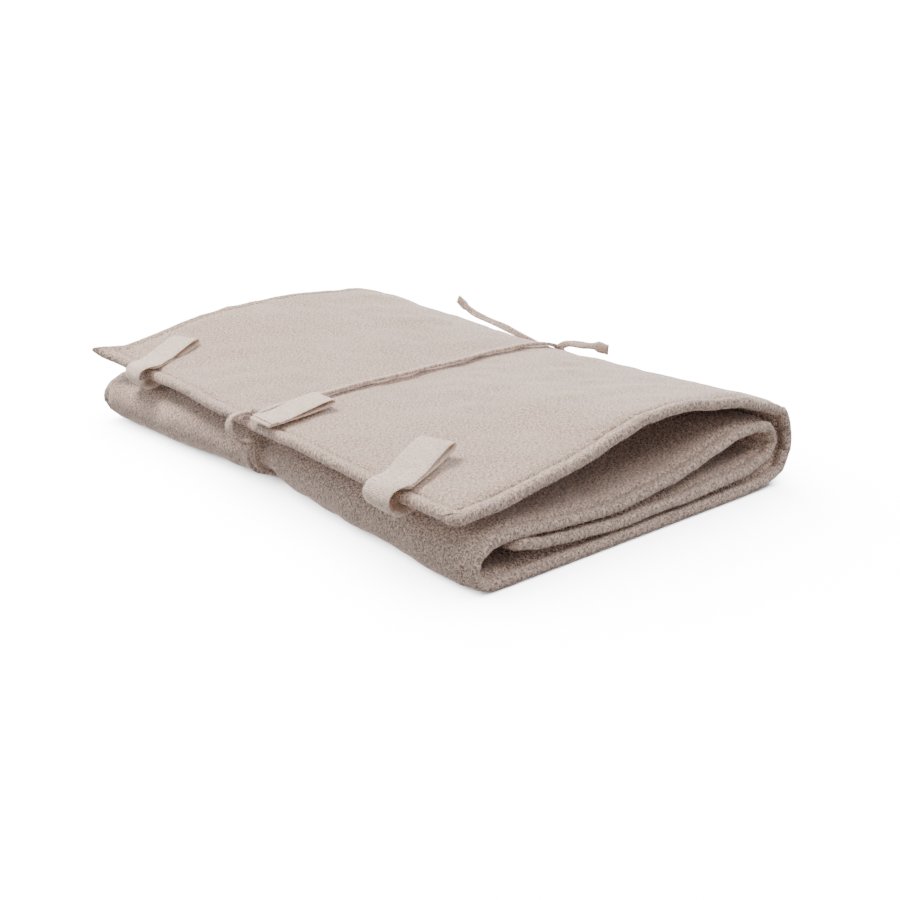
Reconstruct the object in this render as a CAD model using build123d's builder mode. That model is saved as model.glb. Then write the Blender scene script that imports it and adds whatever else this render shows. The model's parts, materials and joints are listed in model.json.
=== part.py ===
"""A padded changing pad, folded three times and held shut by its own tie.

X runs from the open front fold to the closed outer fold, Y along the folds and Z up. The origin is
on the surface that the pad lies on, below the middle of the bottom panel. Millimetres.

The mat is one long padded strip. From its hidden end it runs: inner panel, inner fold, middle panel,
front fold, bottom panel, spine (the wall of the outer fold) and flap. Every stretch is two cloths
with wadding between them, and a sewn hem along both long edges.
"""

import os
from math import cos, radians, sin, tan

from build123d import *

# The mat
MAT_WIDTH = 500.0  # along the folds
MAT_T = 11.0  # cloth, wadding and cloth
CLOTH_T = 1.0
HEM_WIDTH = 10.0
HEM_T = 8.0
LAYER_GAP = 1.2  # between layers that lie on each other
ROLL_GAP = 0.3  # between a panel's end and the roll of the next body
ROLL_TOUCH = 0.1  # between a panel's end and the roll of its own body
SEAM_GAP = 1.0  # the stitched valley between a panel's end and its end hem

# The folded stack, across the folds
STACK_DEPTH = 315.0  # from the front fold's bend axis to the lower outer fold axis
FRONT_FOLD_X = -150.0  # bend axis of the front fold
FRONT_FOLD_R = 16.5  # to the middle of the mat
SPINE_LEAN = 8.0  # how far the spine leans in at its top
SPINE_LIFT = 3.0  # the lower outer fold stands clear of the floor by this much
ROLL_END_R = 2.0  # rounding of the outer fold's two rolls at the open ends
INNER_FOLD_SETBACK = 33.0  # inner fold's bend axis, in from the lower outer fold axis
INNER_FOLD_R = 13.55
INNER_FOLD_LIFT = 3.0  # the inner panel rises this much towards its fold
INNER_END_SETBACK = 38.0  # the hidden end, in from the front fold's bend axis
INNER_END_LIFT = 3.4  # it turns up a little
INNER_END_RUN = 52.0  # over this length
INNER_KNEES = (25.0, 100.0)  # the inner panel's other bends, in from the inner fold
MIDDLE_KNEES = (30.0, 112.0)  # the middle panel's bends, in from the inner fold
MIDDLE_FRONT_KNEES = (90.0, 25.0)  # and in from the front fold
FLAP_OVERHANG = 11.0  # the flap's sewn edge, beyond the front fold's bend axis
FLAP_DROP = 3.5  # the flap's sewn edge, below the upper outer fold axis

# The flap's arch. Its bends are given by how far in they are, how high they are with no arch, and
# how much the arch lifts them. It is whole at the open ends and small under the tie.
FLAP_KNEES = ((82.0, 1.5, 26.0), (162.0, -2.0, 32.0))  # in from the upper outer fold axis
FLAP_FRONT_KNEE = (46.0, 1.5, 7.5)  # in from the flap's sewn edge
ARCH_UNDER_TIE = 0.25
ARCH_POWER = 1.5

# The tie
TIE_WIDTH = 9.0
TIE_T = 2.4
TIE_GAP = 0.6  # between the tie and the cloth that it crosses
TIE_SINK = TIE_T  # the tight tie lies flush in the mat
TIE_Y = 0.0
TIE_RING_GAP = 2.0  # between the tie and the flap's front hem inside it
HOOK_R = 4.0  # bends of a strap that hooks round that hem
KNOT_SIZE = (12.0, 22.0, 13.0)
KNOT_Y = 15.0
KNOT_STANDOFF = 3.2  # behind the lower outer fold axis
KNOT_DROP = 9.5  # below the upper outer fold axis
KNOT_R = 3.0  # rounding
TAIL_D = 8.0

# The woven tape loops
TAPE_WIDTH = 30.0
TAPE_T = 1.2
LOOP_LENGTH = 44.0
LOOP_OPENING = 4.6  # between the two layers of tape at the folded end
LOOP_END_R = 1.8  # rounding of the folded end
LOOP_END_STEP = 1.0  # the upper layer stops this much short of the lower one
LOOP_FOOT = 2.0  # the tape starts this far from the pivot
LOOP_LIFT = 2.4  # pivot above the flap's cloth
LOOP_SETBACK = 4.0  # pivot behind the flap's sewn edge
LOOPS = {  # Y, and degrees of turn and of rise above level
    "near": (-181.0, 20.0, 13.0),
    "middle": (-22.0, 0.0, 8.0),
    "far": (187.0, 23.0, 13.0),
}
KEEPER_GAP = 6.0  # a keeper hangs loose: between it and the hem inside it
KEEPER_SHIFT = 6.0  # a keeper stands this much further along Y than its loop
KEEPER_LAP = 4.0  # a keeper starts this far in from the flap's sewn edge

HALF_T = MAT_T / 2
HALF_WIDTH = MAT_WIDTH / 2
PANEL_HALF = HALF_WIDTH - HEM_WIDTH

# Heights of the mat's middle, layer by layer
BOTTOM_Z = HALF_T
FRONT_TOP_Z = BOTTOM_Z + 2 * FRONT_FOLD_R
INNER_Z = BOTTOM_Z + MAT_T + LAYER_GAP
INNER_FOLD_Z = INNER_Z + INNER_FOLD_LIFT
INNER_TOP_Z = INNER_FOLD_Z + 2 * INNER_FOLD_R
MIDDLE_Z = INNER_Z + MAT_T + LAYER_GAP
OUTER_TOP_Z = INNER_TOP_Z + MAT_T + LAYER_GAP

# The outer fold's two bend axes, and the inner fold and the hidden end inside it
LOWER_AXIS = Vector(FRONT_FOLD_X + STACK_DEPTH, HALF_T + SPINE_LIFT)
UPPER_AXIS = Vector(LOWER_AXIS.X - SPINE_LEAN, OUTER_TOP_Z)
SPINE_DIR = (UPPER_AXIS - LOWER_AXIS).normalized()
INNER_FOLD_X = LOWER_AXIS.X - INNER_FOLD_SETBACK
INNER_END_X = FRONT_FOLD_X + INNER_END_SETBACK

# The three layers of the strip, as distances to its outer side from its middle
OUTER_CLOTH = (HALF_T - CLOTH_T, HALF_T)
WADDING = (CLOTH_T - HALF_T, HALF_T - CLOTH_T)
INNER_CLOTH = (-HALF_T, CLOTH_T - HALF_T)
HEM = (-HEM_T / 2, HEM_T / 2)
GROOVE_DEPTH = TIE_SINK + TIE_GAP / 2
GROOVE = (HALF_T - GROOVE_DEPTH, HALF_T + CLOTH_T)
GROOVE_LINING = (HALF_T - GROOVE_DEPTH - CLOTH_T, HALF_T)
LAYERS = {"outer_cloth": OUTER_CLOTH, "wadding": WADDING, "inner_cloth": INNER_CLOTH}

os.makedirs("parts", exist_ok=True)


def save(builder, name):
    builder.part.label = name
    export_step(builder.part, f"parts/{name}.step")


def parallel(route, radii, offset):
    """The route moved to its right by offset, and the radii that keep its bends concentric."""
    moved, bends = [], []
    directions = [(b - a).normalized() for a, b in zip(route, route[1:])]
    rights = [Vector(d.Y, -d.X) for d in directions]
    moved.append(route[0] + rights[0] * offset)
    for i, radius in enumerate(radii):
        mitre = (rights[i] + rights[i + 1]).normalized()
        moved.append(route[i + 1] + mitre * (offset / mitre.dot(rights[i])))
        turn_left = directions[i].cross(directions[i + 1]).Z > 0
        bends.append(radius + offset if turn_left else radius - offset)
    moved.append(route[-1] + rights[-1] * offset)
    return moved, bends


def band(plane, route, radii, layer):
    """The outline, on plane, between the route's parallels at layer's two distances."""
    with BuildSketch(plane) as outline:
        with BuildLine():
            ends = []
            for offset in layer:
                points, bends = parallel(route, radii, offset)
                if bends:
                    FilletPolyline(*points, radius=bends)
                else:
                    Line(*points)
                ends.append((points[0], points[-1]))
            Line(ends[0][0], ends[1][0])
            Line(ends[0][1], ends[1][1])
        make_face()
    return outline.sketch


def bend(plane, centre, radius, side, layer):
    """The outline of a half ring about centre; side is -1 to the left and 1 to the right."""
    with BuildSketch(plane) as outline:
        with BuildLine():
            for offset in layer:
                r = radius + offset
                ThreePointArc(centre + Vector(0, -r), centre + Vector(side * r, 0), centre + Vector(0, r))
            for end in (-1, 1):
                Line(*(centre + Vector(0, end * (radius + offset)) for offset in layer))
        make_face()
    return outline.sketch


def section(y=0.0):
    """The plane across the folds at y, seen from the near end, with X to the right."""
    return Plane(origin=(0, y, 0), x_dir=(1, 0, 0), z_dir=(0, -1, 0))


# Routes of the mat's middle, each with the radii of its bends
INNER_ROUTE = [
    Vector(INNER_END_X, INNER_Z + INNER_END_LIFT),
    Vector(INNER_END_X + INNER_END_RUN, INNER_Z),
    Vector(INNER_FOLD_X - INNER_KNEES[1], INNER_Z),
    Vector(INNER_FOLD_X - INNER_KNEES[0], INNER_FOLD_Z),
    Vector(INNER_FOLD_X, INNER_FOLD_Z),
]
INNER_RADII = [200, 200, 150]
MIDDLE_ROUTE = [
    Vector(INNER_FOLD_X, INNER_TOP_Z),
    Vector(INNER_FOLD_X - MIDDLE_KNEES[0], INNER_TOP_Z),
    Vector(INNER_FOLD_X - MIDDLE_KNEES[1], MIDDLE_Z),
    Vector(FRONT_FOLD_X + MIDDLE_FRONT_KNEES[0], MIDDLE_Z),
    Vector(FRONT_FOLD_X + MIDDLE_FRONT_KNEES[1], FRONT_TOP_Z),
    Vector(FRONT_FOLD_X, FRONT_TOP_Z),
]
MIDDLE_RADII = [80, 120, 200, 120]
BOTTOM_ROUTE = [
    Vector(FRONT_FOLD_X, BOTTOM_Z),
    Vector(LOWER_AXIS.X - HALF_T - ROLL_GAP, BOTTOM_Z),
]
SPINE_ROUTE = [
    LOWER_AXIS + SPINE_DIR * (HALF_T + ROLL_TOUCH),
    UPPER_AXIS - SPINE_DIR * (HALF_T + ROLL_GAP),
]
FLAP_END = Vector(FRONT_FOLD_X - FLAP_OVERHANG, UPPER_AXIS.Y - FLAP_DROP)
FLAP_RADII = [160, 160, 120]


def flap_route(y):
    """The flap's middle at y, from the upper outer fold to the flap's sewn edge."""
    arch = ARCH_UNDER_TIE + (1 - ARCH_UNDER_TIE) * (abs(y) / HALF_WIDTH) ** ARCH_POWER
    knees = [UPPER_AXIS + Vector(-inward, height + lift * arch) for inward, height, lift in FLAP_KNEES]
    inward, height, lift = FLAP_FRONT_KNEE
    knees.append(FLAP_END + Vector(inward, height + lift * arch))
    start = UPPER_AXIS + (knees[0] - UPPER_AXIS).normalized() * (HALF_T + ROLL_TOUCH)
    return [start, *knees, FLAP_END]


def flap_surface(x, y):
    """Height of the flap's outer cloth at x, between its sewn edge and its first knee."""
    knee, end = flap_route(y)[-2:]
    rise = (knee.Y - end.Y) / (knee.X - end.X)
    return end.Y + (x - end.X) * rise + HALF_T * (1 + rise**2) ** 0.5


def save_strip(name, outline, tied=False):
    """Makes one stretch of the mat: its two cloths, its wadding and its pair of hems.

    outline(plane, layer) draws it. The tight tie presses a groove, lined by the outer cloth, into
    a tied stretch.
    """
    half_groove = (TIE_WIDTH + TIE_GAP) / 2
    for layer_name, layer in LAYERS.items():
        with BuildPart() as piece:
            extrude(outline(section(), layer), amount=PANEL_HALF, both=True)
            if tied and layer_name != "inner_cloth":
                lined = Mode.ADD if layer_name == "outer_cloth" else Mode.SUBTRACT
                lining = outline(section(TIE_Y), GROOVE_LINING)
                extrude(lining, amount=half_groove + CLOTH_T, both=True, mode=lined)
                groove = outline(section(TIE_Y), GROOVE)
                extrude(groove, amount=half_groove, both=True, mode=Mode.SUBTRACT)
        save(piece, f"{name}_{layer_name}")
    with BuildPart() as hems:
        for start, width in ((PANEL_HALF, -HEM_WIDTH), (-PANEL_HALF, HEM_WIDTH)):
            extrude(outline(section(start), HEM), amount=width)
    save(hems, f"{name}_hems")


# The lower, nested stack, which stays still
INNER_BEND = Vector(INNER_FOLD_X, (INNER_FOLD_Z + INNER_TOP_Z) / 2)
FRONT_BEND = Vector(FRONT_FOLD_X, (BOTTOM_Z + FRONT_TOP_Z) / 2)
save_strip("inner_panel", lambda plane, layer: band(plane, INNER_ROUTE, INNER_RADII, layer))
save_strip("inner_fold", lambda plane, layer: bend(plane, INNER_BEND, INNER_FOLD_R, 1, layer))
save_strip("middle_panel", lambda plane, layer: band(plane, MIDDLE_ROUTE, MIDDLE_RADII, layer))
save_strip("front_fold", lambda plane, layer: bend(plane, FRONT_BEND, FRONT_FOLD_R, -1, layer), tied=True)
save_strip("bottom_panel", lambda plane, layer: band(plane, BOTTOM_ROUTE, [], layer), tied=True)

# The spine, between the outer fold's two rolls
save_strip("spine", lambda plane, layer: band(plane, SPINE_ROUTE, [], layer))

for name, axis in (("lower_fold_roll", LOWER_AXIS), ("upper_fold_roll", UPPER_AXIS)):
    with BuildPart() as roll:
        with BuildSketch(section()):
            with Locations((axis.X, axis.Y)):
                Circle(HALF_T)
        extrude(amount=HALF_WIDTH, both=True)
        fillet(roll.edges().filter_by(GeomType.CIRCLE), ROLL_END_R)
    save(roll, name)

# The flap, which arches more towards its open ends
STATIONS = [PANEL_HALF * share for share in (-1, -0.66, -0.33, 0, 0.33, 0.66, 1)]
for layer_name, layer in LAYERS.items():
    with BuildPart() as piece:
        loft([band(section(y), flap_route(y), FLAP_RADII, layer).face() for y in STATIONS], ruled=True)
    save(piece, f"flap_{layer_name}")

with BuildPart() as flap_hems:
    for side in (-1, 1):
        ends = (side * PANEL_HALF, side * HALF_WIDTH)
        loft([band(section(y), flap_route(y), FLAP_RADII, HEM).face() for y in ends], ruled=True)
save(flap_hems, "flap_hems")


def save_end_hem(name, end, direction):
    """The sewn bar that closes the mat's end, from end towards direction."""
    with BuildPart() as bar:
        route = [end + direction * SEAM_GAP, end + direction * HEM_WIDTH]
        extrude(band(section(), route, [], HEM), amount=HALF_WIDTH, both=True)
        fillet(bar.edges().filter_by(Axis.Y).sort_by(Axis.X)[:2], HEM_T / 2 - 0.5)
    save(bar, name)


save_end_hem("flap_front_hem", FLAP_END, Vector(-1, 0))
save_end_hem("inner_panel_end_hem", INNER_ROUTE[0], (INNER_ROUTE[0] - INNER_ROUTE[1]).normalized())

# The tie, tight round the stack
TIE_IN_GROOVE = (HALF_T - TIE_SINK, HALF_T - TIE_SINK + TIE_T)
TIE_ON_CLOTH = (HALF_T + TIE_GAP, HALF_T + TIE_GAP + TIE_T)


def save_strap(name, outline, width):
    """A flat strap along outline's plane, width wide."""
    with BuildPart() as strap:
        extrude(outline, amount=width / 2, both=True)
    save(strap, name)


def hook(y, start, gap, thickness):
    """The outline of a strap that hooks round the flap's front hem, from start on the flap's top."""
    above = flap_surface(start, y) + TIE_GAP
    below = FLAP_END.Y - HEM_T / 2 - gap
    front = FLAP_END.X - HEM_WIDTH - gap
    corners = [(start, above), (front, above), (front, below), (FLAP_END.X - SEAM_GAP, below)]
    return band(section(y), [Vector(*corner) for corner in corners], [HOOK_R, HOOK_R], (0, thickness))


save_strap("tie_underside", band(section(TIE_Y), BOTTOM_ROUTE, [], TIE_IN_GROOVE), TIE_WIDTH)
save_strap("tie_front_drop", bend(section(TIE_Y), FRONT_BEND, FRONT_FOLD_R, -1, TIE_IN_GROOVE), TIE_WIDTH)
save_strap("tie_back", band(section(TIE_Y), SPINE_ROUTE, [], TIE_ON_CLOTH), TIE_WIDTH)
save_strap("tie_top", band(section(TIE_Y), flap_route(TIE_Y), FLAP_RADII, TIE_ON_CLOTH), TIE_WIDTH)
tie_ring = hook(TIE_Y, FLAP_END.X - SEAM_GAP, TIE_RING_GAP, TIE_T)
save_strap("tie_front_ring", tie_ring, TIE_WIDTH)

# The knot, behind the spine's strap near its top
KNOT = Vector(
    LOWER_AXIS.X + KNOT_STANDOFF + KNOT_SIZE[0] / 2,
    KNOT_Y,
    UPPER_AXIS.Y - KNOT_DROP,
)
with BuildPart() as tie_knot:
    with Locations(KNOT):
        Box(*KNOT_SIZE)
    fillet(tie_knot.edges(), KNOT_R)
save(tie_knot, "tie_knot")

# The tie's two free ends, from the knot
TAILS = {  # the points of each route, from the knot's middle
    "tie_tail_long": [
        (0, KNOT_SIZE[1] / 2, 0),
        (1.8, 32, 4.5),
        (2.8, 57, 8),
        (5.8, 86, 11.5),
        (4.8, 116, 15),
        (6.3, 141, 18.5),
        (4.8, 157, 28.5),
    ],
    "tie_tail_short": [
        (0, 1, KNOT_SIZE[2] / 2),
        (1.3, -6, 12),
        (0.3, -20, 15),
        (1.8, -35, 15.5),
        (0.8, -50, 18.5),
        (1.8, -62, 17),
    ],
}
for name, offsets in TAILS.items():
    route = [KNOT + Vector(*offset) for offset in offsets]
    radii = []
    for before, corner, after in zip(route, route[1:], route[2:]):
        half_turn = radians((corner - before).get_angle(after - corner)) / 2
        shorter = min((corner - before).length, (after - corner).length)
        radii.append(0.45 * shorter / tan(half_turn))
    print(name, "bend radii", [round(radius) for radius in radii])
    with BuildPart() as tail:
        with BuildLine():
            path = FilletPolyline(*route, radius=radii)
        with BuildSketch(Plane(origin=path @ 0, z_dir=path % 0)) as across:
            Circle(TAIL_D / 2)
        sweep(path=path)
    share = tail.part.volume / (across.sketch.area * path.length)
    print(name, "length", round(path.length), "volume over section times length", round(share, 3))
    save(tail, name)

# Tape keepers round the front hem, and the doubled tape loops that swing above them
for name in ("near", "far"):
    y = LOOPS[name][0] + KEEPER_SHIFT
    tape = hook(y, FLAP_END.X + KEEPER_LAP, KEEPER_GAP, TAPE_T)
    save_strap(f"{name}_keeper", tape, TAPE_WIDTH)

for name, (y, turn, rise) in LOOPS.items():
    pivot_x = FLAP_END.X + LOOP_SETBACK
    pivot = (pivot_x, y, flap_surface(pivot_x, y) + LOOP_LIFT)
    along = (cos(radians(turn)), sin(radians(turn)), 0)
    plane = Plane(origin=pivot, x_dir=along, z_dir=(along[1], -along[0], 0))
    reach = Vector(cos(radians(rise)), sin(radians(rise))) * LOOP_LENGTH
    lower_end = reach - Vector(0, LOOP_OPENING / 2)
    upper_end = reach + Vector(-LOOP_END_STEP, LOOP_OPENING / 2)
    route = [Vector(LOOP_FOOT, 0), lower_end, upper_end, Vector(LOOP_FOOT, TAPE_T * 2)]
    outline = band(plane, route, [LOOP_END_R, LOOP_END_R], (-TAPE_T / 2, TAPE_T / 2))
    save_strap(f"{name}_carry_loop", outline, TAPE_WIDTH)
    print(name, "loop pivot", [round(value, 2) for value in pivot], "turn", turn)
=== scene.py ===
"""A folded changing pad of heathered cloth, with its tie and its woven tape loops."""

import json
import math

import bpy
import numpy as np
from mathutils import Matrix, Vector


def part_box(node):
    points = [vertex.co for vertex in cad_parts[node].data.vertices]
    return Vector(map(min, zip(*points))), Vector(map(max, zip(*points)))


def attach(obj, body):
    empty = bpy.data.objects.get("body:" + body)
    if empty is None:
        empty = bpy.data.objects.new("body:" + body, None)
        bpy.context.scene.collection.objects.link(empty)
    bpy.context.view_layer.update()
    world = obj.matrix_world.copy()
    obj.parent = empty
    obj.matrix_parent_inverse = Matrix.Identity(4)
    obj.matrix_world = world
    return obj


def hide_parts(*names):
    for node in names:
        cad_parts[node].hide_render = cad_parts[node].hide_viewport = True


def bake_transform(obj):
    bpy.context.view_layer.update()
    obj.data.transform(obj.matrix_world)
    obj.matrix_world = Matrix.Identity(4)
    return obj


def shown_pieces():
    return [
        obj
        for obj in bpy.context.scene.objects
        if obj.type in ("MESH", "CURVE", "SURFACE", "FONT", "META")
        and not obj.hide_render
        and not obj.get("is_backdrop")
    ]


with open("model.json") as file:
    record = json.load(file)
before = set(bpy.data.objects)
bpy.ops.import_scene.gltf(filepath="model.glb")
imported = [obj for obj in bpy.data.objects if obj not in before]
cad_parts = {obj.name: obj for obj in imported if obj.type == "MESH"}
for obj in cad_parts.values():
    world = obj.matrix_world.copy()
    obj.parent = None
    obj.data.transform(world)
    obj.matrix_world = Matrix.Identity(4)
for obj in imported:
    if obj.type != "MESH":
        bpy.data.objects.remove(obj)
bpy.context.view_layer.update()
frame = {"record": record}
MM = 0.001


def middle(node, x=0.5, z=0.5):
    """A point of a CAD node's box, in millimetres: x and z are shares of its sides."""
    low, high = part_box(node)
    return np.array([low[0] + (high[0] - low[0]) * x, low[2] + (high[2] - low[2]) * z]) / MM


def joint(name):
    """A joint's place across the folds, in millimetres."""
    found = next(j for j in frame["record"]["behaviour"]["joints"] if j["name"] == name)
    return np.array([found["pos_m"][0], found["pos_m"][2]]) / MM


def camera():
    """A level camera that looks over the near open end, from the side of the tape loops."""
    azimuth, elevation = math.radians(-39.1), math.radians(19.6)
    flat = math.cos(elevation)
    back = Vector((math.sin(azimuth) * flat, -math.cos(azimuth) * flat, math.sin(elevation)))
    right = Vector((math.cos(azimuth), math.sin(azimuth), 0))
    data = bpy.data.cameras.new("camera")
    data.lens = 44.5
    data.sensor_width = 36.0
    seen = bpy.data.objects.new("camera", data)
    seen.matrix_world = Matrix((right, back.cross(right), back)).transposed().to_4x4()
    seen.location = (-0.5596, -0.7232, 0.3225)
    bpy.context.scene.collection.objects.link(seen)
    bpy.context.scene.camera = seen


camera()


# ---------------------------------------------------------------- meshes


def mesh_object(name, points, faces, strip=None):
    """A smooth mesh piece from points in millimetres; strip is its place on the cloth, for the weave."""
    mesh = bpy.data.meshes.new(name)
    mesh.from_pydata((np.asarray(points) * MM).tolist(), [], faces)
    mesh.validate()
    mesh.update()
    mesh.polygons.foreach_set("use_smooth", [True] * len(mesh.polygons))
    if strip is not None:
        layer = mesh.attributes.new("strip", "FLOAT_VECTOR", "POINT")
        layer.data.foreach_set("vector", (np.asarray(strip) * MM).astype(np.float32).ravel())
    piece = bpy.data.objects.new(name, mesh)
    bpy.context.scene.collection.objects.link(piece)
    return piece


def resample(points, step):
    """The line through points, in even steps."""
    points = np.asarray(points, float)
    s = np.concatenate([[0], np.cumsum(np.linalg.norm(np.diff(points, axis=0), axis=1))])
    at = np.linspace(0, s[-1], max(2, round(s[-1] / step)) + 1)
    return np.stack([np.interp(at, s, points[:, i]) for i in range(points.shape[1])], 1)


def rounded(points, step, passes=6):
    """The line through points, in even steps, with its corners eased."""
    line = resample(points, step)
    for _ in range(passes):
        line[1:-1] = 0.25 * line[:-2] + 0.5 * line[1:-1] + 0.25 * line[2:]
    return resample(line, step)


def band_section(width, thickness, count=9):
    """A flat band's outline: across and up, with round edges."""
    across = np.sin(np.linspace(-math.pi / 2, math.pi / 2, count))
    lift = 0.5 * thickness * np.clip(1 - np.abs(across) ** 6, 0, 1) ** 0.5
    top = [(a * width / 2, h) for a, h in zip(across, lift)]
    return top + [(a * width / 2, -h) for a, h in list(zip(across, lift))[-2:0:-1]]


def ribbon(centres, sides, width, thickness, crown=0.0):
    """Points, faces and weave places of a flat band along centres; sides point across it.

    width and thickness are one number or one for each centre; crown bows it along its middle.
    """
    centres, count = np.asarray(centres, float), len(centres)
    ahead = np.gradient(centres, axis=0)
    ahead /= np.linalg.norm(ahead, axis=1)[:, None]
    sides = np.broadcast_to(np.asarray(sides, float), centres.shape)
    sides = sides - ahead * np.sum(sides * ahead, axis=1)[:, None]
    sides = sides / np.linalg.norm(sides, axis=1)[:, None]
    ups = np.cross(ahead, sides)
    width, thickness = np.broadcast_to(width, count), np.broadcast_to(thickness, count)
    s = np.concatenate([[0], np.cumsum(np.linalg.norm(np.diff(centres, axis=0), axis=1))])
    points, strip = [], []
    for i in range(count):
        for across, lift in band_section(width[i], thickness[i]):
            bow = crown * (1 - (2 * across / width[i]) ** 2)
            points.append(centres[i] + sides[i] * across + ups[i] * (lift + bow))
            strip.append((s[i], across, 0 if lift >= 0 else 40))
    ring = len(points) // count
    faces = [tuple(range(ring))[::-1], tuple(range((count - 1) * ring, count * ring))]
    for i in range(count - 1):
        for j in range(ring):
            k = (j + 1) % ring
            faces.append((i * ring + j, i * ring + k, (i + 1) * ring + k, (i + 1) * ring + j))
    return np.array(points), faces, np.array(strip)


def joined(parts):
    """Several meshes as one: their points, faces and weave places."""
    points, faces, strip, start = [], [], [], 0
    for some, some_faces, some_strip in parts:
        points.append(some)
        strip.append(some_strip)
        faces += [tuple(i + start for i in face) for face in some_faces]
        start += len(some)
    return np.concatenate(points), faces, np.concatenate(strip)


# ---------------------------------------------------------------- the knot and the tie's two free ends

KNOT_LOW, KNOT_HIGH = (np.array(corner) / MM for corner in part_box("tie_knot"))
KNOT, KNOT_SIZE = (KNOT_LOW + KNOT_HIGH) / 2, KNOT_HIGH - KNOT_LOW
STRAP_T = 3.0
TAIL_D = 8.0
TAILS = {  # the points of each route, from the knot's middle
    "tie_tail_long": (
        150,
        [
            (0, KNOT_SIZE[1] / 2, 0),
            (1.8, 32, 4.5),
            (2.8, 57, 8),
            (5.8, 86, 11.5),
            (4.8, 116, 15),
            (6.3, 141, 18.5),
            (4.8, 157, 28.5),
        ],
    ),
    "tie_tail_short": (
        65,
        [
            (0, 1, KNOT_SIZE[2] / 2),
            (1.3, -6, 12),
            (0.3, -20, 15),
            (1.8, -35, 15.5),
            (0.8, -50, 18.5),
            (1.8, -62, 17),
        ],
    ),
}


def spline_points(route):
    """Points along the smooth spline that route guides, in millimetres."""
    curve = bpy.data.curves.new("route", "CURVE")
    curve.dimensions = "3D"
    spline = curve.splines.new("NURBS")
    spline.points.add(len(route) - 1)
    for point, place in zip(spline.points, route):
        point.co = (*(place * MM), 1)
    spline.order_u = 3
    spline.use_endpoint_u = True
    spline.resolution_u = 14
    guide = bpy.data.objects.new("route", curve)
    line = bpy.data.meshes.new_from_object(guide)
    places = np.array([vertex.co[:] for vertex in line.vertices]) / MM
    bpy.data.objects.remove(guide)
    bpy.data.meshes.remove(line)
    return places


def tail(name, length, offsets):
    """A free end of the tie: a flat, slightly twisted strap that widens at its sewn end."""
    route = [KNOT + np.array(offset, float) for offset in offsets]
    line = resample(spline_points(route), 1.6)
    along = np.linspace(0, 1, len(line))
    turn = 1.35 + 0.35 * np.sin(along * 7.0 + len(name)) * np.clip(along * 6, 0, 1)
    sides = np.stack([np.cos(turn), np.zeros_like(turn), np.sin(turn)], 1)
    sewn_end = np.clip((along * length - length + 16) / 5, 0, 1)
    width = TAIL_D * (0.84 + 0.07 * np.sin(along * 17) + 0.5 * sewn_end)
    thick = 3.3 + 0.6 * np.sin(along * 23 + 1)
    points, faces, strip = ribbon(line, sides, width, thick, crown=0.5)
    piece = mesh_object(name, points, faces, strip)
    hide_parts(name)
    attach(piece, "spine")
    return piece


tails = [tail(name, *given) for name, given in TAILS.items()]


# ---------------------------------------------------------------- the mat's shape

HALF_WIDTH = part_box("bottom_panel_hems")[1][1] / MM
HEM_WIDTH = HALF_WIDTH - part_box("bottom_panel_wadding")[1][1] / MM
HALF_T = 5.3  # half of the mat's thickness
HEM_R = 4.3  # half of the rolled hem's thickness
GROOVE_T = 2.3  # half of the thickness that is left under the seam
PUFF = 9.0  # how far from the seam the mat reaches its full thickness
STEP = 3.2  # between rows along the strip
COLUMN_STEP = 4.2  # between columns across it, past the border
BORDER = 22  # where the close rows of the hems and the seams end
EDGE_ROWS = [0, 0.12, 0.5, 1.1, 1.9, 2.8, 3.7, 4.7, 5.8, 6.9, 7.9, 8.8, 9.5, 10, 10.4, 11, 12, 13.5, 15.5, 18]
FLOOR_GAP = 0.15  # under the lowest cloth

ANCHORS = {
    "end": middle("inner_panel_end_hem", 0),
    "inner": middle("inner_fold_outer_cloth", 0),
    "front": middle("front_fold_outer_cloth", 1),
    "lower": joint("outer_fold_lower"),
    "upper": joint("outer_fold_upper"),
    "flap": middle("flap_front_hem", 0),
}

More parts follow.
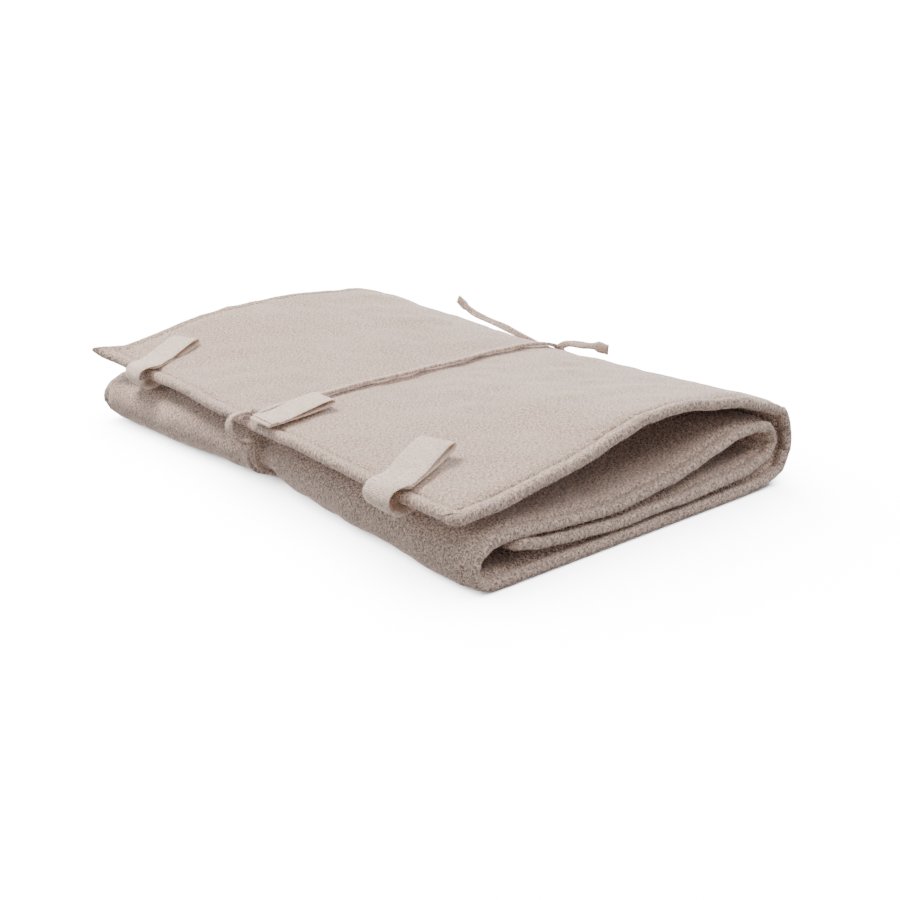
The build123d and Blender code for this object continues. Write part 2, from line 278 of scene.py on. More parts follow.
# The middle of the mat from its hidden end to the flap's edge: an anchor, the offset from it at the
# near end, under the tie and at the far end, and how sharply the shape changes towards the ends.
KNOTS = [
    ("end", (0, 5), (0, 2), (0, 2), 1.5),
    ("end", (22, 1.5), (22, -2), (22, -2), 1.5),
    ("end", (60, -2), (60, -4), (60, -4), 1.5),
    ("inner", (-130, -17.5), (-130, -17.5), (-130, -17.5), 1.5),
    ("inner", (-85, -17), (-85, -17), (-85, -17), 1.5),
    ("inner", (-38, -15), (-38, -16), (-38, -15), 1.5),
    ("inner", (-8, -12.6), (-8, -13.5), (-8, -12.6), 1.5),
    ("inner", (14, -6), (9.5, -8), (10, -6), 1.5),
    ("inner", (20, 5), (14, 0), (15.5, 3), 1.5),
    ("inner", (13, 16.5), (8, 9.5), (9, 14), 1.5),
    ("inner", (-8, 20), (-8, 12.5), (-8, 18), 1.5),
    ("inner", (-30, 20), (-30, 12), (-30, 18), 1.5),
    ("inner", (-56, 12.5), (-56, 7), (-56, 12.5), 1.5),
    ("inner", (-90, 3.5), (-90, 0), (-90, 3.5), 1.5),
    ("inner", (-123, -2), (-123, -4), (-123, -2), 1.5),
    ("front", (129, 8), (129, 8), (129, 8), 1.5),
    ("front", (84, 9), (84, 8.5), (84, 9), 1.5),
    ("front", (52, 11), (52, 10.5), (52, 14), 1.5),
    ("front", (28, 13.5), (28, 14), (10, 18), 1.0),
    ("front", (10, 12), (5, 14), (-14, 17), 1.0),
    ("front", (0.5, 6.5), (-6.5, 8.5), (-29, 9), 1.0),
    ("front", (-3.5, -4), (-8.5, -1), (-32, -2), 1.0),
    ("front", (-1, -12.5), (0, -10), (-25, -13), 1.0),
    ("front", (9, -16.8), (15, -16.5), (-6, -16.8), 1.0),
    ("front", (40, -16.8), (40, -16.8), (40, -16.8), 1.5),
    ("front", (110, -16.8), (110, -16.8), (110, -16.8), 1.5),
    ("lower", (-110, -3), (-110, -3.2), (-110, -3), 1.5),
    ("lower", (-50, -3), (-50, -3.2), (-50, -3), 1.5),
    ("lower", (-20, -1.5), (-20, -2), (-20, -1.5), 1.5),
    ("lower", (-1, 3.5), (-4, 3), (-4, 4), 1.5),
    ("lower", (7.5, 19), (3, 17), (4, 18), 1.5),
    ("upper", (12.5, -15), (8, -18), (9, -15), 1.5),
    ("upper", (2.5, 1.5), (-1, -3), (1, 4), 1.5),
    ("upper", (-22, 11), (-24, 4), (-21, 15), 1.5),
    ("upper", (-51, 19), (-55, 7.5), (-52, 25), 1.5),
    ("upper", (-104, 27.5), (-104, 5.5), (-104, 28), 1.5),
    ("upper", (-155, 28), (-155, 4.5), (-155, 28), 1.5),
    ("upper", (-210, 14), (-210, 3), (-210, 26.5), 1.8),
    ("flap", (75, 8.5), (75, 5), (75, 22), 2.5),
    ("flap", (42, 3), (42, 3), (42, 14), 4),
    ("flap", (16, 0.5), (16, 0.5), (11, 9), 8),
    ("flap", (0, 0.5), (0, 0), (-23, 13), 13),
]
SPINE_KNOT = 30  # where the mat is cut between the lower and the upper outer fold
BOTTOM_KNOT = 27  # where it is cut between the still stack and the lower outer fold


def knots_at(y):
    """The outline's points at y, in millimetres."""
    share = min(abs(y) / HALF_WIDTH, 1.0)
    points = []
    for anchor, near, tied, far, power in KNOTS:
        open_end = np.array(near if y < 0 else far, float)
        points.append(ANCHORS[anchor] + np.array(tied) + (open_end - np.array(tied)) * share**power)
    return np.array(points)


def smooth(points, at, angular=0.0):
    """Points and directions on the curve through points, at fractional indices.

    angular mixes in the straight runs between them, for cloth that is creased where it bends.
    """
    gaps = np.linalg.norm(np.diff(points, axis=0), axis=1)
    along = np.concatenate([[0], np.cumsum(np.sqrt(gaps))])
    slopes = np.gradient(points, along, axis=0)
    i = np.minimum(at.astype(int), len(points) - 2)
    t = (at - i)[:, None]
    step = (along[i + 1] - along[i])[:, None]
    a, b, ma, mb = points[i], points[i + 1], slopes[i] * step, slopes[i + 1] * step
    place = (2 * t**3 - 3 * t**2 + 1) * a + (t**3 - 2 * t**2 + t) * ma
    place += (3 * t**2 - 2 * t**3) * b + (t**3 - t**2) * mb
    way = (6 * t**2 - 6 * t) * (a - b) + (3 * t**2 - 4 * t + 1) * ma + (3 * t**2 - 2 * t) * mb
    place = place * (1 - angular) + (a + (b - a) * t) * angular
    way = way * (1 - 0.6 * angular) + (b - a) * 0.6 * angular
    return place, way / np.linalg.norm(way, axis=1)[:, None]


def ripple(x, y, size, seed):
    """Smooth seeded unevenness from about -1 to 1, with bumps about size millimetres apart."""
    draw = np.random.default_rng(seed)
    total = 0
    for _ in range(7):
        turn, phase, stretch = draw.uniform(0, math.tau, 2).tolist() + [draw.uniform(0.6, 1.6)]
        total = total + np.sin((x * math.cos(turn) + y * math.sin(turn)) * math.tau / size * stretch + phase)
    return total / 3.2


def edge_profile(d):
    """Half of the mat's thickness at a distance d from its edge: rolled hem, seam, puff."""
    rolled = HEM_R * np.sqrt(np.clip(1 - ((np.minimum(d, HEM_R) - HEM_R) / HEM_R) ** 2, 0, 1))
    dip = np.clip((d - HEM_R) / (HEM_WIDTH - HEM_R), 0, 1)
    hem = rolled - (HEM_R - GROOVE_T) * dip**2.2
    rise = np.clip((d - HEM_WIDTH) / PUFF, 0, 1)
    puffed = GROOVE_T + (HALF_T - GROOVE_T) * np.sqrt(1 - (1 - rise) ** 2)
    return np.where(d < HEM_WIDTH, hem, puffed)


def spaced_from_edge(length):
    """Distances across the mat, close together at its hems."""
    inner = np.linspace(BORDER, length - BORDER, int((length - 2 * BORDER) / COLUMN_STEP))
    return np.concatenate([EDGE_ROWS, inner, length - np.array(EDGE_ROWS)[::-1]])


def rows_along():
    """Rows along the strip as fractional indices of KNOTS, close together at its two hemmed ends."""
    gaps = np.linalg.norm(np.diff(knots_at(-HALF_WIDTH * 0.6), axis=0), axis=1)
    even = [0.0]
    for index, gap in enumerate(gaps):
        count = max(2, round(gap / STEP))
        even += [index + (k + 1) / count for k in range(count)]
    even, close, last = np.array(even), np.array(EDGE_ROWS[1:-2]), len(gaps)
    start = close[close < gaps[0]] / gaps[0]
    end = last - close[close < gaps[-1]][::-1] / gaps[-1]
    body = even[(even > start[-1]) & (even < end[0])]
    return np.concatenate([[0], start, body, end, [last]])


ACROSS = spaced_from_edge(2 * HALF_WIDTH) - HALF_WIDTH
ALONG = rows_along()


def build_grid():
    """Places (rows along the strip, columns across it), their outer normals, and each row's distance."""
    rows, columns = len(ALONG), len(ACROSS)
    centre, outward = np.zeros((rows, columns, 3)), np.zeros((rows, columns, 3))
    for c, y in enumerate(ACROSS):
        angular = 0.75 * math.exp(-(((HALF_WIDTH - abs(y)) / 22) ** 2))
        place, way = smooth(knots_at(y), ALONG, angular)
        centre[:, c, 0], centre[:, c, 1], centre[:, c, 2] = place[:, 0], y, place[:, 1]
        outward[:, c, 0], outward[:, c, 2] = way[:, 1], -way[:, 0]
    lengths = np.linalg.norm(np.diff(centre, axis=0), axis=2).mean(1)
    s = np.concatenate([[0], np.cumsum(lengths)])
    return centre, outward, s


CENTRE, OUTWARD, S = build_grid()
S_GRID, Y_GRID = np.meshgrid(S, ACROSS, indexing="ij")
TO_LONG_EDGE = HALF_WIDTH - np.abs(Y_GRID)
TO_END = np.minimum(S_GRID, S[-1] - S_GRID)
TO_EDGE = np.minimum(TO_LONG_EDGE, TO_END)


def at_knot(k):
    """How far along the strip a knot is."""
    return float(np.interp(k, ALONG, S))


# Creases in the border where the mat bends: a place along the knots, and how deep
CREASES = [(7, 0.3), (8, 0.42), (9, 0.3), (10, 0.4), (20, 0.42), (21, 0.3), (22, 0.42), (23, 0.3)]
CREASES += [(28, 0.34), (29, 0.3), (30, 0.44), (31, 0.36), (32, 0.4), (33, 0.3)]


def add_unevenness():
    """Half thicknesses with seam puckers and creases, and the soft waves of the whole mat."""
    half = edge_profile(TO_EDGE)
    from_seam = np.abs(TO_EDGE - HEM_WIDTH)
    pucker = ripple(S_GRID + Y_GRID, Y_GRID * 0.2, 9, 3) * np.exp(-((from_seam / 7) ** 2))
    half = half * (1 + 0.07 * pucker)
    puff = ripple(S_GRID, Y_GRID, 42, 5) * np.clip((TO_EDGE - HEM_WIDTH) / 20, 0, 1)
    half += 0.45 * puff
    for knot, depth in CREASES:
        away = (S_GRID - at_knot(knot) - 2.5 * np.sin(Y_GRID * 0.3 + knot)) / 2.0
        half *= 1 - depth * np.exp(-(away**2)) * np.clip(1.4 - TO_LONG_EDGE / 12, 0, 1)
    wave = 0.9 * ripple(S_GRID, Y_GRID * 0.8, 95, 11) + 0.35 * ripple(S_GRID, Y_GRID, 34, 13)
    flat = np.clip((S_GRID - at_knot(23)) / 20, 0, 1) * np.clip((at_knot(28) - S_GRID) / 20, 0, 1)
    wave = wave * (1 - flat)
    return half, wave


HALF, WAVE = add_unevenness()
TIE_Y = 0.0
ON_TOP = np.clip((S_GRID - at_knot(31.5)) / 40, 0, 1)
ON_FRONT = np.exp(-(((S_GRID - at_knot(21)) / 26) ** 4))
PINCH = 0  # how far the tight tie presses the mat in: a narrow dent and a wide one
for width, top, front in ((13, 0.9, 3.0), (40, 1.6, 3.0)):
    PINCH = PINCH + np.exp(-(((Y_GRID - TIE_Y) / width) ** 2)) * (top * ON_TOP + front * ON_FRONT)
CORNER_R = 9.0


def round_corners():
    """How far each place moves along the strip and across it, to round the mat's four corners."""
    a = np.clip(CORNER_R - TO_END, 0, CORNER_R)
    b = np.clip(CORNER_R - TO_LONG_EDGE, 0, CORNER_R)
    shrink = np.maximum(a, b) / np.maximum(np.hypot(a, b), 1e-6) - 1
    along = np.where(S_GRID > S[-1] / 2, 1, -1) * a * shrink
    return along * (b > 0), np.sign(Y_GRID) * b * shrink * (a > 0)


TANGENT = np.stack([-OUTWARD[..., 2], np.zeros_like(S_GRID), OUTWARD[..., 0]], 2)
SHIFT_S, SHIFT_Y = round_corners()
CENTRE = CENTRE + TANGENT * SHIFT_S[..., None]
CENTRE[..., 1] += SHIFT_Y
OUTER = CENTRE + OUTWARD * (HALF + WAVE - PINCH)[..., None]
INNER = CENTRE - OUTWARD * (HALF - WAVE + 0.7 * PINCH)[..., None]
for side in (OUTER, INNER):
    side[..., 2] = np.maximum(side[..., 2], FLOOR_GAP)


# ---------------------------------------------------------------- the mat's meshes

STITCH_PITCH = 3.8
STITCH_LENGTH = 2.7
STITCH_D = 0.5


def stitch_run(line, upward):
    """Short five-sided stitches along line, which lie on the side that upward points to."""
    s = np.concatenate([[0], np.cumsum(np.linalg.norm(np.diff(line, axis=0), axis=1))])
    parts = []
    for start in np.arange(0.6, s[-1] - STITCH_LENGTH, STITCH_PITCH):
        at = start + STITCH_LENGTH * np.array([0, 0.12, 0.5, 0.88, 1])
        places = np.stack([np.interp(at, s, line[:, i]) for i in range(3)], 1)
        ups = np.stack([np.interp(at, s, upward[:, i]) for i in range(3)], 1)
        ahead = places[-1] - places[0]
        side = np.cross(ups[2], ahead)
        side /= max(np.linalg.norm(side), 1e-6)
        size = STITCH_D / 2 * np.array([0.25, 0.8, 1, 0.8, 0.25])[:, None]
        rise = STITCH_D * np.array([-0.5, 0, 0.3, 0, -0.5])[:, None]
        ring = [(math.cos(turn), math.sin(turn)) for turn in np.linspace(0, math.tau, 6)[:-1]]
        points = np.stack([places + ups * (rise + size * v) + side * size * u for u, v in ring], 1)
        points = points.reshape(-1, 3)
        faces = [
            (i * 5 + j, i * 5 + (j + 1) % 5, i * 5 + 5 + (j + 1) % 5, i * 5 + 5 + j)
            for i in range(4)
            for j in range(5)
        ]
        parts.append((points, faces, places.repeat(5, 0)))
    return parts


def stitches(first, last):
    """The seam's stitches on both faces, between two rows."""
    rows = slice(first, last + 1)
    parts = []
    seam_y = HALF_WIDTH - HEM_WIDTH
    seam_columns = [int(np.argmin(np.abs(ACROSS - y))) for y in (-seam_y, seam_y)]
    for face, sign in ((OUTER, 1), (INNER, -1)):
        for column in seam_columns:
            kept = TO_END[rows, column] >= HEM_WIDTH - 0.3
            if kept.sum() > 1:
                parts += stitch_run(face[rows, column][kept], sign * OUTWARD[rows, column][kept])
        for row in (int(np.argmin(np.abs(S - HEM_WIDTH))), int(np.argmin(np.abs(S[-1] - S - HEM_WIDTH)))):
            if first <= row <= last:
                kept = TO_LONG_EDGE[row] >= HEM_WIDTH - 0.3
                parts += stitch_run(face[row][kept], sign * OUTWARD[row][kept])
    return parts


def row_of(knot):
    """The row nearest to a fractional index of KNOTS."""
    return int(np.argmin(np.abs(ALONG - knot)))


def mat_mesh(first, last):
    """The mat from row first to row last, open where it was cut from the rest."""
    rows, columns = last - first + 1, len(ACROSS)
    index = np.arange(rows * columns).reshape(rows, columns)
    inner = index + rows * columns
    rim = np.zeros((rows, columns), bool)
    rim[:, [0, -1]] = True
    if first == 0:
        rim[0] = True
    if last == len(ALONG) - 1:
        rim[-1] = True
    inner[rim] = index[rim]
    points = np.concatenate([OUTER[first : last + 1].reshape(-1, 3), INNER[first : last + 1].reshape(-1, 3)])
    s, y = S_GRID[first : last + 1].ravel(), Y_GRID[first : last + 1].ravel()
    strip = np.concatenate([np.stack([s, y, s * 0], 1), np.stack([s, y, s * 0 + 700], 1)])
    faces = []
    for r in range(rows - 1):
        for c in range(columns - 1):
            a, b, e, f = index[r, c], index[r + 1, c], index[r + 1, c + 1], index[r, c + 1]
            faces.append((a, b, e, f))
            a, b, e, f = inner[r, c], inner[r, c + 1], inner[r + 1, c + 1], inner[r + 1, c]
            faces.append((a, b, e, f))
    used = np.unique(np.array(faces))
    renumber = np.full(len(points), -1)
    renumber[used] = np.arange(len(used))
    faces = [tuple(int(renumber[i]) for i in face) for face in faces]
    return joined([(points[used], faces, strip[used]), *stitches(first, last)])


SPANS = {
    "mat_stack": (0, row_of(BOTTOM_KNOT)),
    "mat_lower_fold": (row_of(BOTTOM_KNOT), row_of(SPINE_KNOT)),
    "mat_flap": (row_of(SPINE_KNOT), len(ALONG) - 1),
}
mat_stack, mat_lower_fold, mat_flap = (
    mesh_object(name, *mat_mesh(first, last)) for name, (first, last) in SPANS.items()
)


# ---------------------------------------------------------------- the tie

TIE_ROWS = {"front": row_of(21.2), "bottom": row_of(BOTTOM_KNOT), "spine": row_of(SPINE_KNOT)}
TIE_COLUMN = int(np.argmin(np.abs(ACROSS - TIE_Y)))
HEM = OUTER[-1, TIE_COLUMN] - np.array([-HEM_R, 0, 0])


def on_mat(first, last, lift):
    """The tie's line on the mat's outer face, between two rows."""
    rows = slice(first, last + 1)
    return OUTER[rows, TIE_COLUMN] + OUTWARD[rows, TIE_COLUMN] * lift


def lean(count, start, end):
    """Sides of a strap that leans over from start to end, in degrees from level."""
    turn = np.radians(np.linspace(start, end, count))
    return np.stack([np.zeros(count), np.cos(turn), -np.sin(turn)], 1)


STRAP_WIDTH = 9.6
RING_ROWS = 36  # of the strap's rows, those that turn under the flap's front hem
# The ring round the front hem and the drop below it, as offsets from the hem's middle
RING = [
    (5, 3, 7.6),
    (-4, 6, 8.8),
    (-12, 8, 7),
    (-16, 8, 0),
    (-15, 6.5, -6.5),
    (-10.5, 5, -12.5),
    (-4, 4, -15.6),
    (3, 2.5, -14),
]
DROP = [(2, 1.5, -14.5), (-3, 2.5, -18), (-5.5, 2.5, -24), (-4.5, 2.5, -31), (1, 2, -38.5)]
top_rows = (TIE_ROWS["spine"], row_of(40.6))
over_top = rounded(on_mat(*top_rows, STRAP_T / 2 + 2.6), 3.0, 24)
over_top[:, 1] = TIE_Y + 1.0 * np.sin(np.linspace(0, 5, len(over_top)))
strap_line = rounded(np.concatenate([over_top, HEM + np.array(RING)]), 1.5, 5)
leaning = np.concatenate([lean(len(strap_line) - RING_ROWS, 4, 14), lean(RING_ROWS, 14, 0)])
narrow = 1 - 0.12 * np.sin(np.linspace(0, 9, len(strap_line))) ** 2
tie_top = mesh_object("tie_top_strap", *ribbon(strap_line, leaning, STRAP_WIDTH * narrow, STRAP_T, 0.5))

drop_rows = (TIE_ROWS["front"], TIE_ROWS["bottom"])
down = on_mat(*drop_rows, 0.6)
beyond = down[:, 2] < HEM[2] - 45
down = np.concatenate([HEM + np.array(DROP), down[np.cumsum(beyond) > 0]])
down[:, 2] = np.maximum(down[:, 2], STRAP_T / 2 + 0.1)
drop_ribbon = ribbon(rounded(down, 2.0, 3), (0, 1, 0), STRAP_WIDTH * 0.8, STRAP_T, 0.3)
under = mesh_object("tie_drop_strap", *drop_ribbon)
back_line = on_mat(TIE_ROWS["bottom"], TIE_ROWS["spine"], 0.8)
back_line[:, 2] = np.maximum(back_line[:, 2], STRAP_T / 2 + 0.1)
back = mesh_object("tie_back_strap", *ribbon(resample(back_line, 2.0), (0, 1, 0), STRAP_WIDTH, STRAP_T, 0.4))


def knot_mesh():
    """The knotted strap: one closed trefoil turn, squeezed to the knot's size."""
    t = np.linspace(0, math.tau, 121)[:-1]
    loops = np.stack([-np.sin(3 * t), np.cos(t) - 2 * np.cos(2 * t), np.sin(t) + 2 * np.sin(2 * t)], 1)
    room = KNOT_SIZE / 2 - np.array([2.0, 2.6, 2.6])
    line = KNOT + loops / np.array([1.0, 3.0, 2.7]) * room
    line = np.concatenate([line, line[:2]])
    sides = np.cross(np.gradient(line, axis=0), line - KNOT + 1e-3)
    return ribbon(line, sides, 5.8, 3.0, 0.4)


knot = mesh_object("tie_knot_turns", *knot_mesh())


# ---------------------------------------------------------------- the tape loops and their keepers

TAPE_WIDTH = 29.0
TAPE_T = 1.5


def tape_loop(name, pivot, outwards):
    """The doubled tape that swings above the keeper: lower strand, end fold and upper strand."""
    sag = np.random.default_rng(int(abs(pivot[1]))).uniform(-0.7, 0.7)
    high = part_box(f"{name}_carry_loop")[1][2] / MM - pivot[2]
    # distances from the pivot, with heights as shares of the loop's
    lower = [(-16, -0.16), (-6, -0.1), (5, 0.03), (14, 0.12), (26, 0.28), (36, 0.46), (42, 0.6)]
    fold = [(44, 0.78), (43.4, 0.96), (41, 1.0)]
    upper = [(34, 0.93), (23, 0.68), (12, 0.42), (4, 0.2), (-6, 0.03), (-16, -0.06)]
    flat = rounded([(u, w * high) for u, w in lower + fold + upper], 1.1, 4)
    flat[:, 1] += sag * np.sin(np.clip(flat[:, 0] / fold[0][0], 0, 1) * math.pi)
    line = pivot + flat[:, :1] * outwards + flat[:, 1:] * np.array([0, 0, 1.0])
    bent = np.clip((flat[:, :1] + 8) / 16, 0, 1)
    sides = np.array([0, 1.0, 0]) * (1 - bent) + np.array([-outwards[1], outwards[0], 0]) * bent
    width = TAPE_WIDTH * (1 - 0.05 * np.clip(flat[:, 0] / 40, 0, 1))
    loop = mesh_object(f"{name}_tape_loop", *ribbon(line, sides, width, TAPE_T, 0.35))
    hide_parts(f"{name}_carry_loop")
    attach(loop, f"{name}_loop")
    return loop


def tape_keeper(name, pivot, outwards):
    """The tape that is sewn down over the loop's foot, and goes round the hem except at the middle loop."""
    top, front = pivot[2] - 1.2, pivot[0] - 13.5
    hook = [(pivot[0] - 7, top + 1.9), (front, top + 1.7)]
    foot_y = pivot[1] - (pivot[0] - front) * outwards[1] / outwards[0]
    under_y = foot_y
    if name != "middle":
        keeper_low, keeper_high = (np.array(corner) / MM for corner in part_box(f"{name}_keeper"))
        under_y = foot_y + (keeper_low[1] + keeper_high[1] - 2 * foot_y) * 0.1
        out, low = keeper_low[0] - 4.5, keeper_low[2] + 0.5
        hook += [(out + 4, top - 0.6), (out, top - 6), (out + 1, low + 6), (out + 7, low)]
        hook += [(pivot[0] - 10, low + 1.5), (pivot[0] - 4, low + 4)]
    place = rounded(hook, 1.1, 5)
    part = np.clip((pivot[0] - place[:, 0] - 8) / 12, 0, 1)
    line = np.stack([place[:, 0], foot_y + (under_y - foot_y) * part, place[:, 1]], 1)
    keeper = mesh_object(f"{name}_tape_keeper", *ribbon(line, (0, 1, 0), TAPE_WIDTH, TAPE_T, -0.3))
    if name != "middle":
        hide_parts(f"{name}_keeper")
    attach(keeper, "flap")
    return keeper


def tape_pieces(name):
    """One loop and its keeper, from the place and turn of the joint that the loop swings on."""
    swing = next(j for j in frame["record"]["behaviour"]["joints"] if j["name"] == f"{name}_loop_swing")
    pivot, axis = np.array(swing["pos_m"]) / MM, np.array(swing["axis"])
    outwards = np.array([-axis[1], axis[0], 0])
    return [tape_loop(name, pivot, outwards), tape_keeper(name, pivot, outwards)]


tapes = [piece for name in ("near", "middle", "far") for piece in tape_pieces(name)]


# ---------------------------------------------------------------- the tuck in the flap's near corner

corner = OUTER[-1, 0]
TUCK = [(10, 1, 2.6), (5.5, 2.2, 4.0), (1.5, 4.5, 4.2), (-0.5, 8, 3.0), (-0.8, 12, 1.4)]
tuck_line = corner + np.array(TUCK)
tuck = mesh_object("corner_tuck", *ribbon(rounded(tuck_line, 0.8, 3), (0.75, 0.6, 0), 4.2, 1.5, 0.3))
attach(tuck, "flap")


# ---------------------------------------------------------------- materials


class Shades:
    """One material's nodes: each method adds some and gives back the last one's output."""

    def __init__(self, name):
        self.material = bpy.data.materials.new(name)
        self.material.use_nodes = True
        self.tree = self.material.node_tree
        self.tree.nodes.clear()
        self.place = self.node("ShaderNodeAttribute", attribute_name="strip").outputs["Vector"]

    def node(self, kind, **values):
        made = self.tree.nodes.new(kind)
        for name, value in values.items():
            if name in made.inputs:
                made.inputs[name].default_value = value
            else:
                setattr(made, name, value)
        return made

    def link(self, a, b):
        self.tree.links.new(a, b)

    def scaled(self, per_mm):
        """The place on the cloth, in counts per millimetre along the strip, across it and by face."""
        mapping = self.node("ShaderNodeMapping")
        mapping.inputs["Scale"].default_value = [value / MM for value in per_mm]
        self.link(self.place, mapping.inputs["Vector"])
        return mapping.outputs["Vector"]

    def noise(self, per_mm, detail=2.0):
        """Cloudy noise from 0 to 1, with so many features per millimetre along the strip and across it."""
        made = self.node("ShaderNodeTexNoise", Scale=1.0, Detail=detail, Roughness=0.55)
        self.link(self.scaled((*per_mm, 0.01)), made.inputs["Vector"])
        return made.outputs["Fac"]

    def maths(self, operation, a, b=0.0):
        """One operation on two values, each a number or an output."""
        made = self.node("ShaderNodeMath", operation=operation)
        for socket, value in zip(made.inputs, (a, b)):
            if isinstance(value, float):
                socket.default_value = value
            else:
                self.link(value, socket)
        return made.outputs[0]

    def weigh(self, *pairs):
        """The sum of values, each times its weight."""
        total = None
        for value, weight in pairs:
            term = self.maths("MULTIPLY", value, weight)
            total = term if total is None else self.maths("ADD", total, term)
        return total

    def ramp(self, value, low, high):
        """0 below low and 1 above high."""
        made = self.node("ShaderNodeMapRange")
        made.inputs["From Min"].default_value = low
        made.inputs["From Max"].default_value = high
        self.link(value, made.inputs["Value"])
        return made.outputs["Result"]

    def mix(self, share, a, b, blend="MIX"):
        """Colour a, with a share of colour b blended in."""
        made = self.node("ShaderNodeMix", data_type="RGBA", blend_type=blend)
        for key, value in (("A", a), ("B", b)):
            socket = next(i for i in made.inputs if i.name == key and i.type == "RGBA")
            if isinstance(value, tuple):
                socket.default_value = (*value, 1)
            else:
                self.link(value, socket)
        self.link(share, next(i for i in made.inputs if i.name == "Factor" and i.type == "VALUE"))
        return next(o for o in made.outputs if o.type == "RGBA")

    def waves(self, per_mm):
        """Sines of the place along the strip and across it."""
        split = self.node("ShaderNodeSeparateXYZ")
        self.link(self.scaled([value * math.tau for value in (*per_mm, 0.0)]), split.inputs[0])
        return [self.maths("SINE", split.outputs[i]) for i in (0, 1)]

    def finish(self, colour, height, strength, depth, roughness, sheen):
        """A matt cloth shader with that colour, and a bump of depth millimetres from height."""
        bump = self.node("ShaderNodeBump", Strength=strength, Distance=depth * MM)
        self.link(height, bump.inputs["Height"])
        shader = self.node("ShaderNodeBsdfPrincipled", Roughness=roughness)
        shader.inputs["Specular IOR Level"].default_value = 0.12
        shader.inputs["Sheen Weight"].default_value = sheen
        shader.inputs["Sheen Roughness"].default_value = 0.6
        self.link(colour, shader.inputs["Base Color"])
        self.link(bump.outputs["Normal"], shader.inputs["Normal"])
        self.link(shader.outputs[0], self.node("ShaderNodeOutputMaterial").inputs[0])
        return self.material


def heather(name, light, dark, fleck):
    """Plain weave of mixed yarns: short lighter and darker stretches of thread, both ways."""
    m = Shades(name)
    warp, weft = m.noise((0.4, 1.5), 1.5), m.noise((1.5, 0.4), 1.5)
    speck, blotch, patch = m.noise((1.4, 1.4), 1.0), m.noise((0.4, 0.4), 1.0), m.noise((0.018, 0.018))
    woven = m.weigh((warp, 0.3), (weft, 0.3), (speck, 0.3), (blotch, 0.1))
    tone = m.mix(m.ramp(woven, 0.465, 0.545), dark, light)
    slub = m.ramp(m.noise((0.2, 1.2), 2.0), 0.58, 0.66)
    tone = m.mix(m.maths("MULTIPLY", slub, 0.45), tone, fleck)
    tone = m.mix(m.ramp(patch, 0.35, 0.65), tone, (0.95, 0.94, 0.935), "MULTIPLY")
    along, across = m.waves((0.62, 0.62))
    height = m.weigh((m.maths("MULTIPLY", along, across), 0.18), (woven, 1.0))
    return m.finish(tone, height, 0.5, 0.35, 0.93, 0.12)


def woven_tape(name, light, dark):
    """Ecru cotton tape: fine cross ribs and herringbone columns."""
    m = Shades(name)
    ribs, columns = m.waves((0.72, 0.16))
    fibre, patch = m.noise((1.6, 0.9), 2.0), m.noise((0.05, 0.05))
    slant = m.maths("MULTIPLY", ribs, columns)
    woven = m.weigh((ribs, 0.07), (slant, 0.06), (fibre, 1.0))
    tone = m.mix(m.ramp(woven, 0.38, 0.58), dark, light)
    tone = m.mix(m.ramp(patch, 0.3, 0.7), tone, (0.95, 0.94, 0.93), "MULTIPLY")
    height = m.weigh((ribs, 0.5), (slant, 0.35), (fibre, 0.6))
    return m.finish(tone, height, 0.6, 0.3, 0.88, 0.1)


outer_cloth = heather("heather_cloth", (0.81, 0.60, 0.495), (0.28, 0.198, 0.157), (0.18, 0.126, 0.098))
tie_cloth = heather("tie_heather_cloth", (0.80, 0.61, 0.515), (0.40, 0.295, 0.24), (0.26, 0.188, 0.15))
tape_cloth = woven_tape("ecru_tape", (0.97, 0.79, 0.66), (0.52, 0.385, 0.305))

MAT_NODES = {
    mat_stack: ("inner_panel", "inner_fold", "middle_panel", "front_fold", "bottom_panel"),
    mat_lower_fold: ("spine",),
    mat_flap: ("flap",),
}
LAYERS = ("outer_cloth", "wadding", "inner_cloth", "hems")
for piece, stretches in MAT_NODES.items():
    piece.data.materials.append(outer_cloth)
    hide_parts(*[f"{stretch}_{layer}" for stretch in stretches for layer in LAYERS])
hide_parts("inner_panel_end_hem")
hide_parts("lower_fold_roll")
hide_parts("upper_fold_roll", "flap_front_hem")
for piece in (tie_top, under, back, knot, *tails):
    piece.data.materials.append(tie_cloth)
for piece in tapes:
    piece.data.materials.append(tape_cloth)
tuck.data.materials.append(outer_cloth)
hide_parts("tie_top", "tie_front_ring")
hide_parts("tie_front_drop", "tie_underside")
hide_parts("tie_back")
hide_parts("tie_knot")

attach(mat_stack, "base")
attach(under, "base")
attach(knot, "spine")
for piece in (mat_lower_fold, back):
    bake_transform(piece)
for piece in (mat_flap, tie_top):
    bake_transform(piece)


# ---------------------------------------------------------------- studio

ROOM = 30  # metres from the pad to each backdrop
ROOM_HEIGHT = 40
BACKDROP_GLOW = 16.0


def sheet_of(name, corners):
    """A plain white surface behind or below the pad."""
    mesh = bpy.data.meshes.new(name)
    mesh.from_pydata(corners, [], [(0, 1, 2, 3)])
    surface = bpy.data.objects.new(name, mesh)
    bpy.context.scene.collection.objects.link(surface)
    white = bpy.data.materials.new(name)
    white.use_nodes = True
    shader = white.node_tree.nodes["Principled BSDF"]
    shader.inputs["Base Color"].default_value = (0.93, 0.93, 0.93, 1)
    shader.inputs["Roughness"].default_value = 0.9
    shader.inputs["Specular IOR Level"].default_value = 0.0
    mesh.materials.append(white)
    surface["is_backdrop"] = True
    return surface


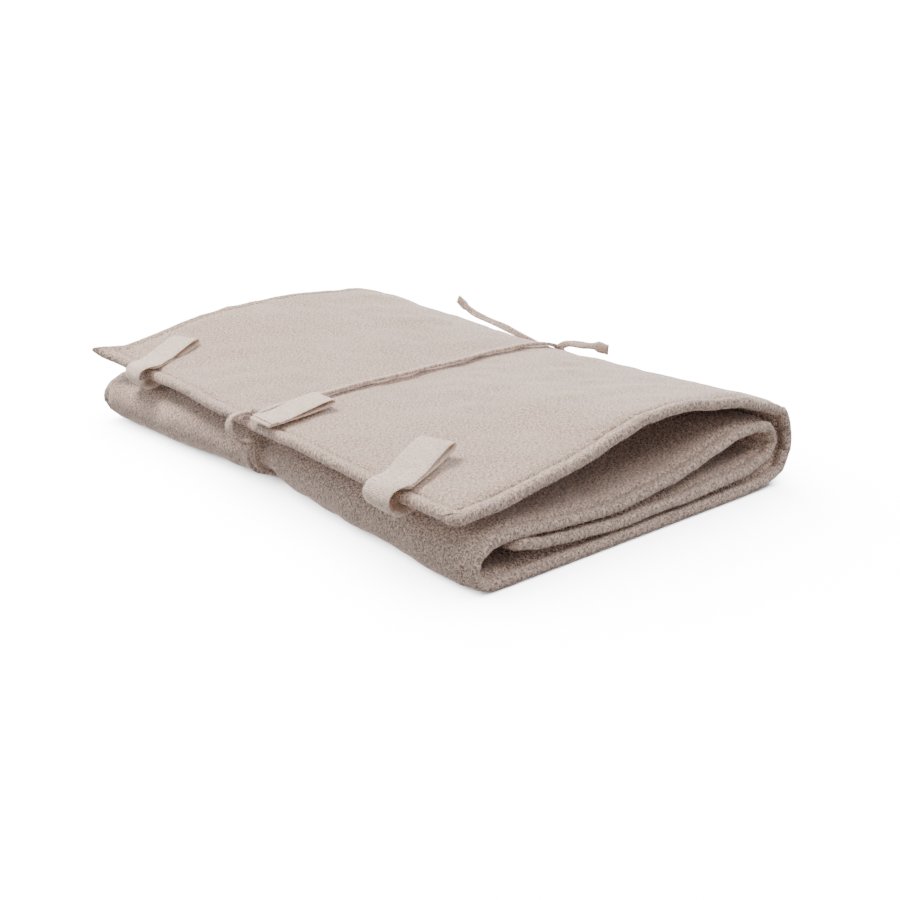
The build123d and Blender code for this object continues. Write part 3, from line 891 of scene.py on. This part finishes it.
def lamp(name, kind, place, energy, size):
    """A light that shines at the pad; size is a sun's angle or an area light's side."""
    data = bpy.data.lights.new(name, kind)
    data.energy = energy
    if kind == "SUN":
        data.angle = size
    else:
        data.size = size
    light = bpy.data.objects.new(name, data)
    light.location = place
    light.rotation_euler = (Vector((0, 0, 0.03)) - Vector(place)).to_track_quat("-Z", "Y").to_euler()
    light.visible_camera = False
    bpy.context.scene.collection.objects.link(light)
    return light


def backdrop(name, start, end):
    """A wall between two corners of the room."""
    low = [(x * ROOM, y * ROOM, 0) for x, y in (start, end)]
    high = [(x * ROOM, y * ROOM, ROOM_HEIGHT) for x, y in (end, start)]
    return sheet_of(name, low + high)


def studio():
    """A white room that glows, and three soft lights that reach only the pad."""
    floor = sheet_of("floor", [(x * ROOM, y * ROOM, 0) for x, y in ((-1, -1), (1, -1), (1, 1), (-1, 1))])
    walls = [
        backdrop("backdrop_far", (-1, 1), (1, 1)),
        backdrop("backdrop_right", (1, -1), (1, 1)),
        backdrop("backdrop_near", (-1, -1), (1, -1)),
        backdrop("backdrop_left", (-1, -1), (-1, 1)),
    ]
    for wall in walls:
        shader = wall.data.materials[0].node_tree.nodes["Principled BSDF"].inputs
        shader["Emission Color"].default_value = (1, 1, 1, 1)
        shader["Emission Strength"].default_value = BACKDROP_GLOW
    for surface in (floor, *walls):
        surface.visible_diffuse = False
        surface.visible_shadow = surface is floor
    world = bpy.data.worlds.new("studio")
    world.use_nodes = True
    background = world.node_tree.nodes["Background"].inputs
    background["Color"].default_value = (1, 0.99, 0.98, 1)
    background["Strength"].default_value = 0.31
    bpy.context.scene.world = world
    only_floor, only_pad = (bpy.data.collections.new(name) for name in ("floor_lit", "pad_lit"))
    only_floor.objects.link(floor)
    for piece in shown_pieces():
        only_pad.objects.link(piece)
    wash = lamp("floor_wash", "SUN", (-0.4, 0.6, 2.0), 60, math.radians(110))
    wash.light_linking.receiver_collection = only_floor
    key = lamp("key_light", "AREA", (-0.4, 0.95, 1.75), 66, 0.7)
    key.data.color = (1.0, 0.94, 0.89)
    top = lamp("top_light", "AREA", (0.15, -1.1, 1.6), 17, 0.8)
    fill = lamp("fill_light", "AREA", (-1.7, -0.4, 0.5), 6, 1.0)
    for light in (key, top, fill):
        light.light_linking.receiver_collection = only_pad


studio()
